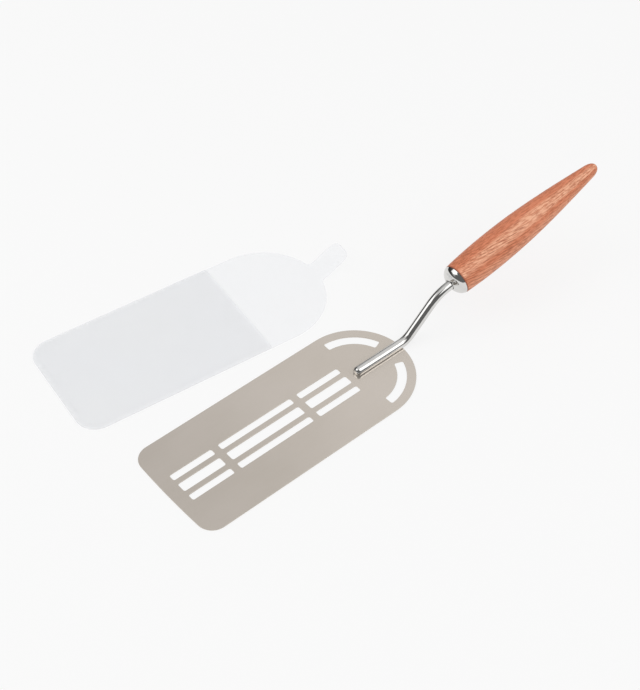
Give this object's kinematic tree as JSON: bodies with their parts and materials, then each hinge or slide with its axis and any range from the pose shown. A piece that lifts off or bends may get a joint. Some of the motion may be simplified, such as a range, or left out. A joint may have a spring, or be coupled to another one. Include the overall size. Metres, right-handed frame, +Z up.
{
  "type": "slotted spatula",
  "caption": "Kitchen spatula with a long slotted steel blade, a cranked rod and a tapered wooden handle, with a soft sleeve for its blade lying beside it.",
  "frame": {"origin": "centre of the blade's round rear end, on the blade's underside", "axes": "+X along the blade towards the handle, +Z up out of the blade's top"},
  "size_m": [0.3632, 0.1875, 0.0569],
  "materials": {
    "satin_steel": "fine satin, warm grey",
    "polished_steel": "mirror polished",
    "wood": "satin, reddish, open pores along the grain",
    "frosted_plastic": "translucent, fine frosted"
  },
  "bodies": {
    "spatula": {"blade": "satin_steel", "shank": "polished_steel", "ferrule": "polished_steel", "handle": "wood"},
    "sleeve": {"sleeve_back": "frosted_plastic", "sleeve_pocket": "frosted_plastic"}
  },
  "joints": [
    {"name": "sleeve_draw", "type": "slide", "parent": "spatula", "child": "sleeve", "axis": [-0.9919, 0.1271, 0], "range_m": [0, 0.131]}
  ]
}
